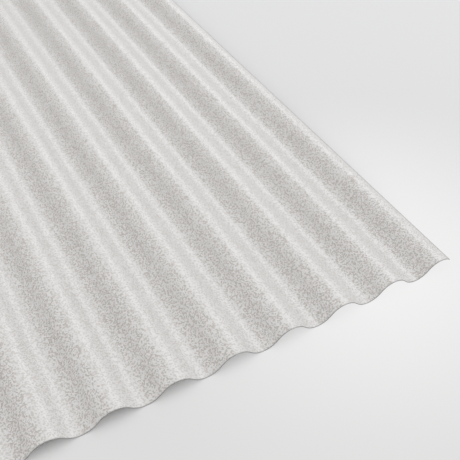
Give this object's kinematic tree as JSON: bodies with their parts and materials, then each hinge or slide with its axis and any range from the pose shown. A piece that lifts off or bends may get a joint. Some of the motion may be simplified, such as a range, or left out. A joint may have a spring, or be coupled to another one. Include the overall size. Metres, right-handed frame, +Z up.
{
  "type": "corrugated metal sheet",
  "caption": "Coated steel roofing and cladding sheet, roll formed with round corrugations along its length; one side edge turns down and the other up for the side lap.",
  "frame": {"origin": "under the middle of the sheet, on the surface that its troughs rest on", "axes": "+Y along the corrugations, +X across them towards the side edge that turns down, +Z up"},
  "size_m": [0.8286, 1.8, 0.0182],
  "materials": {
    "sheet_coating": "matt light grey coating with a fine wrinkled grain"
  },
  "bodies": {
    "root": {"corrugated_sheet": "sheet_coating"}
  },
  "joints": []
}
